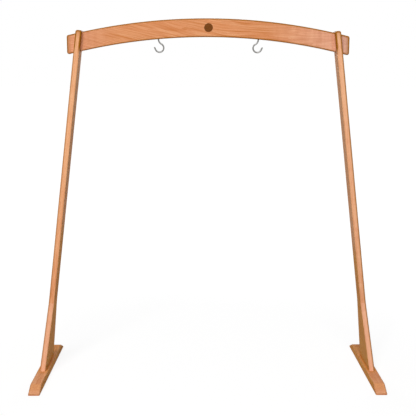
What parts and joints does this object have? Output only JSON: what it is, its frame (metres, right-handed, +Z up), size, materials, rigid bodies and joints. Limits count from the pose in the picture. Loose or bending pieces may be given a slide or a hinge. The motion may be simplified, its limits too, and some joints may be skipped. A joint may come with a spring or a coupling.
{
  "type": "gong stand",
  "caption": "Free-standing wooden gong stand: an arched crossbeam with swan-neck hooks, laid in the forked tops of leaning posts that stand on long bevelled feet.",
  "frame": {"origin": "on the floor, in the middle between the feet", "axes": "+X to the right seen from the front, +Y to the back, +Z up"},
  "size_m": [1.601, 0.61, 1.652],
  "materials": {
    "oiled_beech": "planed and sanded steamed beech, oiled, with a soft satin sheen",
    "walnut": "dark turned walnut, sanded flush and oiled",
    "plain_beech": "turned beech dowel, unfinished",
    "zinc_plated_wire": "bent steel wire, zinc plated, satin grey",
    "screw_steel": "zinc plated wood screw"
  },
  "bodies": {
    "end_frames": {"post_left": "oiled_beech", "post_right": "oiled_beech", "foot_left": "oiled_beech", "foot_right": "oiled_beech", "dowel_left_front": "plain_beech", "dowel_left_back": "plain_beech", "dowel_right_front": "plain_beech", "dowel_right_back": "plain_beech", "screw_left_front": "screw_steel", "screw_left_back": "screw_steel", "screw_right_front": "screw_steel", "screw_right_back": "screw_steel"},
    "crossbeam": {"crossbeam": "oiled_beech", "centre_inlay": "walnut"},
    "hook_left": {"hook_left": "zinc_plated_wire"},
    "hook_right": {"hook_right": "zinc_plated_wire"}
  },
  "joints": [
    {"name": "beam_lift", "type": "slide", "parent": "end_frames", "child": "crossbeam", "axis": [0, 0, 1], "range_m": [0, 0.12]},
    {"name": "hook_left_turn", "type": "hinge", "parent": "crossbeam", "child": "hook_left", "pos_m": [-0.2235, 0, 1.5], "axis": [0, 0, 1], "range_deg": [-180, 180]},
    {"name": "hook_right_turn", "type": "hinge", "parent": "crossbeam", "child": "hook_right", "pos_m": [0.2235, 0, 1.5], "axis": [0, 0, 1], "range_deg": [-180, 180]}
  ]
}
